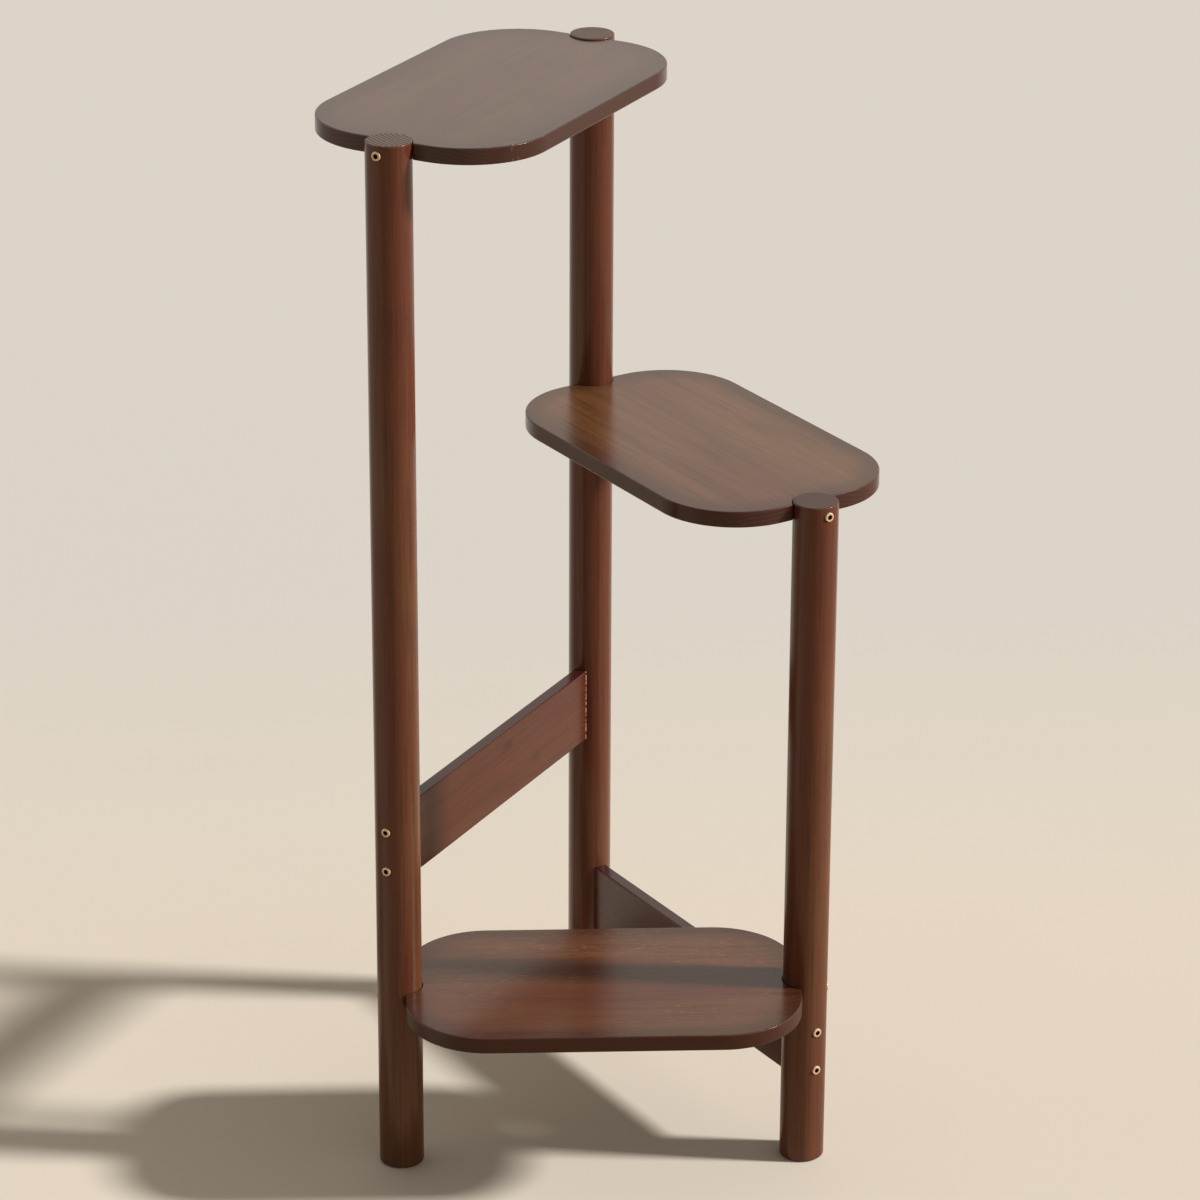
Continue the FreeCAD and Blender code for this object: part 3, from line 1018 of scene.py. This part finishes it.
@dataclass
class Fasteners:
    """The bolts through the legs and the threaded inserts that they screw into.

    Sizes are in millimetres and angles in degrees. A bolt's own Z axis points out of its head,
    from its seat. The shank's core is a share of the thread's root, so that no faces coincide.
    """

    head_radius: float = 4.0
    head_height: float = 5.0
    lip: float = 0.9
    lip_margin: float = 0.2
    socket_flats: float = 4.0
    socket_depth: float = 2.5
    socket_bevel: float = 0.25
    side_margin: float = 0.02
    floor_margin: float = 0.1
    shank_radius: float = 2.5
    shank_length: float = 45.0
    pitch: float = 0.8
    thread_depth: float = 0.45
    core_share: float = 0.98
    core_sunk: float = 0.3
    insert_radius: float = 4.0
    insert_length: float = 13.0
    insert_pitch: float = 2.4
    insert_thread: float = 0.55
    insert_socket_flats: float = 6.0
    insert_socket_depth: float = 3.0
    insert_bevel: float = 0.12
    bore_clearance: float = 0.05
    ridge_start: float = 0.2
    ridge_foot: float = 0.2
    smooth_below: float = 35.0

    def build(self) -> None:
        """Models one bolt and one insert, and copies them to every node."""
        zinc = ZincPlate().make()
        bolt = self.model_bolt()
        self.plate_bolt(bolt)
        insert = self.model_insert()
        insert.data.materials.append(zinc)
        for node in sorted(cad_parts):
            if "_bolt_" in node:
                self.place(bolt, node, "bolt_brass")
            elif "_insert_" in node:
                self.place(insert, node, "insert_metal")
        bpy.data.objects.remove(bolt)
        bpy.data.objects.remove(insert)

    def corner_radius(self, flats: float) -> float:
        """Returns a hexagon's radius at its corners, from its size across flats."""
        return flats / 2 / math.cos(math.pi / 6)

    def hexagon(self, flats: float, low: float, high: float) -> bpy.types.Object:
        """Makes a hexagonal cutter along Z, from its size across flats and its two heights."""
        return cylinder(self.corner_radius(flats), low, high, sides=6)

    def model_bolt(self) -> bpy.types.Object:
        """Models the bolt: a lipped head with a hexagon socket, on a threaded shank.

        Returns:
            The bolt.
        """
        top = self.head_height
        head = cylinder(self.head_radius, 0.0, top, sides=48)
        select_edges(head, lambda first, last: min(first.z, last.z) > top - LEVEL)
        bpy.ops.mesh.bevel(offset=self.lip, segments=5, profile=0.5, affect="EDGES")
        bpy.ops.object.mode_set(mode="OBJECT")
        cut_with(head, self.hexagon(self.socket_flats, top - self.socket_depth, top + PAST))
        flat = self.head_radius - self.lip - self.lip_margin

        def at_mouth(first: Vector, last: Vector) -> bool:
            """Tells whether an edge is one of the socket's mouth."""
            return min(first.z, last.z) > top - LEVEL and max(first.xy.length, last.xy.length) < flat

        select_edges(head, at_mouth)
        bpy.ops.mesh.bevel(offset=self.socket_bevel, segments=2, profile=0.5, affect="EDGES")
        bpy.ops.object.mode_set(mode="OBJECT")
        crest, root = self.shank_radius, self.shank_radius - self.thread_depth
        step = self.pitch / 8
        tooth = [(root, 0.0), (root, step), (crest, step * 4), (crest, step * 5), (root, step * 8)]
        turns = int(self.shank_length / self.pitch) - 1
        rod = helix(tooth, -self.shank_length, self.pitch, turns)
        core = cylinder(root * self.core_share, -self.shank_length, self.core_sunk, sides=24)
        return self.smooth(join([head, rod, core], "bolt"))

    def plate_bolt(self, bolt: bpy.types.Object) -> None:
        """Plates the bolt with brass, and gives its socket a dark, dull copy: partly tarnish, partly
        painted shade in the recess.

        Args:
            bolt: The bolt, in metres.
        """
        bolt.data.materials.append(AntiqueBrass().make())
        # Painted shade in the socket, partly tarnish: a dark, dull copy of the brass
        dull = AntiqueBrass(
            "socket_tarnish_and_shade",
            rubbed=srgb(70, 50, 34),
            plate=srgb(52, 36, 24),
            browned=srgb(40, 28, 20),
            browning=0.8,
            roughness=0.5,
        )
        bolt.data.materials.append(dull.make())
        # Only the faces of the socket lie within both
        reach = (self.corner_radius(self.socket_flats) + self.side_margin) * MM
        floor = (self.head_height - self.socket_depth - self.floor_margin) * MM
        for face in bolt.data.polygons:
            within = all(bolt.data.vertices[number].co.xy.length < reach for number in face.vertices)
            if within and face.center.z > floor:
                face.material_index = 1

    def model_insert(self) -> bpy.types.Object:
        """Models the insert: a bored sleeve with a hexagon mouth and a coarse outer thread.

        Returns:
            The insert.
        """
        root = self.insert_radius - self.insert_thread
        sleeve = cylinder(root, -self.insert_length, 0.0, sides=40)
        bore = self.shank_radius + self.bore_clearance
        cut_with(sleeve, cylinder(bore, -self.insert_length - PAST, PAST, sides=32))
        cut_with(sleeve, self.hexagon(self.insert_socket_flats, -self.insert_socket_depth, PAST))
        apply_modifier(sleeve, "BEVEL", width=self.insert_bevel, segments=2, limit_method="ANGLE")
        crest, foot = self.insert_radius, root - self.ridge_foot
        step = self.insert_pitch / 8
        flank_up = [(foot, 0.0), (root, step * 2), (crest, step * 3)]
        flank_down = [(crest, step * 3.5), (root, step * 5), (foot, step * 6)]
        ridge = [*flank_up, *flank_down, flank_up[0]]
        turns = int(self.insert_length / self.insert_pitch) - 1
        thread = helix(ridge, -self.insert_length + self.ridge_start, self.insert_pitch, turns)
        return self.smooth(join([sleeve, thread], "insert"))

    def smooth(self, piece: bpy.types.Object) -> bpy.types.Object:
        """Smooths round faces, brings the piece to metres and returns it.

        Args:
            piece: The piece, in millimetres.

        Returns:
            The same piece.
        """
        activate(piece)
        piece.scale = (MM, MM, MM)
        bpy.ops.object.transform_apply(location=False, rotation=False, scale=True)
        bpy.ops.object.shade_smooth_by_angle(angle=math.radians(self.smooth_below))
        return piece

    def place(self, master: bpy.types.Object, node: str, slot: str) -> None:
        """Copies a fastener into the place of its node.

        Args:
            master: The modelled fastener.
            node: The node that it replaces.
            slot: Its material slot; not used.
        """
        board, kind, corner = self.words(node)
        outward = self.outward(board, corner)
        length = self.head_height + self.shank_length if kind == "bolt" else self.insert_length
        top = self.head_height if kind == "bolt" else 0.0
        seat = middle_of(node) + outward * (length / 2 - top) * MM
        piece = master.copy()
        piece.data = master.data.copy()
        piece.name = piece.data.name = f"{node}_detailed"
        bpy.context.scene.collection.objects.link(piece)
        turn = outward.to_track_quat("Z", "Y").to_matrix().to_4x4()
        piece.matrix_world = Matrix.Translation(seat) @ turn
        activate(piece)
        bpy.ops.object.transform_apply(location=True, rotation=True, scale=True)
        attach(piece, "root")
        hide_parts(node)
        log.info("%s modelled", piece.name)

    def words(self, node: str) -> tuple[str, str, str]:
        """Splits a fastener's node name.

        Args:
            node: Such as left_rail_bolt_rear_upper.

        Returns:
            The board, the kind of fastener and the leg's corner.
        """
        kind = "bolt" if "_bolt_" in node else "insert"
        board, _, rest = node.partition(f"_{kind}_")
        return board, kind, rest.split("_")[0]

    def outward(self, board: str, corner: str) -> Vector:
        """Finds the way that a bolt's head points.

        Args:
            board: The shelf or rail that it holds.
            corner: The corner of the leg that it goes through.

        Returns:
            The unit vector.
        """
        span = Boards().spans[board]
        leg = Corner(f"{corner}_leg")
        return span.direction() if span.value[1] is leg else -span.direction()


# ---------------------------------------------------------------- studio


@dataclass(frozen=True)
class Lamp:
    """A far lamp that lights the whole floor evenly. A wider one gives softer shadows."""

    name: str
    toward: Vector
    width: float
    strength: float
    colour: Colour = (1.0, 1.0, 1.0)
    shines: bool = True

    def hang(self) -> None:
        """Hangs the lamp. One that doesn't shine makes no highlights."""
        data = bpy.data.lights.new(self.name, "SUN")
        data.angle = math.radians(self.width)
        data.energy = self.strength
        data.color = self.colour
        lamp = bpy.data.objects.new(self.name, data)
        lamp.rotation_mode = "QUATERNION"
        lamp.rotation_quaternion = self.toward.to_track_quat("Z", "Y")
        lamp.visible_glossy = self.shines
        bpy.context.scene.collection.objects.link(lamp)


@dataclass
class Studio:
    """A plain pale floor under soft light, and the camera at the photograph's viewing angle."""

    floor_reach: float = 14.0
    room: Colour = srgb(228, 222, 213)
    warmth: Colour = srgb(234, 221, 204)
    room_light: float = 0.42
    front_loss: float = 0.26
    lens_pixels: float = 4833.6
    camera_x: float = -155.8
    camera_y: float = -3771.2
    camera_z: float = 2056.6
    yaw: float = 2.378
    pitch: float = 22.746
    roll: float = 0.247

    def build(self) -> None:
        """Builds the floor, the lamps, the world and the camera."""
        self.lay_floor()
        self.hang_lamps()
        self.fill_world()
        self.set_camera()
        bpy.context.scene.view_settings.view_transform = "Standard"
        log.info("studio set")

    def lay_floor(self) -> None:
        """Lays the floor."""
        deselect_all()
        bpy.ops.mesh.primitive_circle_add(vertices=96, radius=self.floor_reach, fill_type="NGON")
        floor = bpy.context.object
        floor.name = "floor"
        floor.data.materials.append(PaleFloor().make())

    def hang_lamps(self) -> None:
        """Hangs a warm key low on the right, and a wide soft window in front of it."""
        right, warm = Vector((0.83, -0.09, 0.55)), (1.0, 0.96, 0.9)
        in_front, mild = Vector((0.62, -0.7, 0.35)), (1.0, 0.97, 0.93)
        Lamp("key", right, width=6.0, strength=3.0, colour=warm, shines=False).hang()
        Lamp("key_shine", right, width=6.0, strength=1.1, colour=warm).hang()
        Lamp("window", in_front, width=70.0, strength=0.45, colour=mild).hang()

    def fill_world(self) -> None:
        """Lights the room softly all round, less in front, and shows it pale to the camera."""
        world = bpy.data.worlds.new("room")
        bpy.context.scene.world = world
        world.use_nodes = True
        sheet = Sheet(world.node_tree)
        side, ahead, _ = sheet.split(sheet.add("ShaderNodeTexCoord", output="Generated"))
        # Full to the camera, dimmer in front in a gloss, and weakest as a light
        level = (side * side + ahead * ahead).root().at_least(0.001)
        front = (ahead / level).between(-0.25, -0.6)
        mirrored = sheet.seen_by("Is Glossy Ray") * (1 - front * 0.7)
        shown = sheet.seen_by("Is Camera Ray").at_least(mirrored)
        strength = shown.at_least(self.room_light - front * self.front_loss)
        colour = sheet.mix(self.warmth, self.room, shown.between(0.0, 0.3))
        light = sheet.add("ShaderNodeBackground", None, {"Color": colour, "Strength": strength})
        sheet.node("ShaderNodeOutputWorld", None, {"Surface": light})
        log.info("room lit")

    def set_camera(self) -> None:
        """Sets the camera where the photograph was taken from."""
        data = bpy.data.cameras.new("camera")
        data.sensor_width = FILM_WIDTH
        data.lens = self.lens_pixels / PHOTO_WIDTH * FILM_WIDTH
        camera = bpy.data.objects.new("camera", data)
        bpy.context.scene.collection.objects.link(camera)
        turn = (
            Matrix.Rotation(math.radians(-self.yaw), 4, "Z")
            @ Matrix.Rotation(math.radians(90 - self.pitch), 4, "X")
            @ Matrix.Rotation(math.radians(self.roll), 4, "Z")
        )
        place = Vector((self.camera_x, self.camera_y, self.camera_z)) * MM
        camera.matrix_world = Matrix.Translation(place) @ turn
        bpy.context.scene.camera = camera


def main() -> None:
    """Builds the stand's finishes, its fasteners and the studio, in that order."""
    logging.basicConfig(level=logging.INFO, format="%(name)s: %(message)s")
    Legs().build()
    Boards().build()
    Fasteners().build()
    Studio().build()


if __name__ == "__main__":
    main()
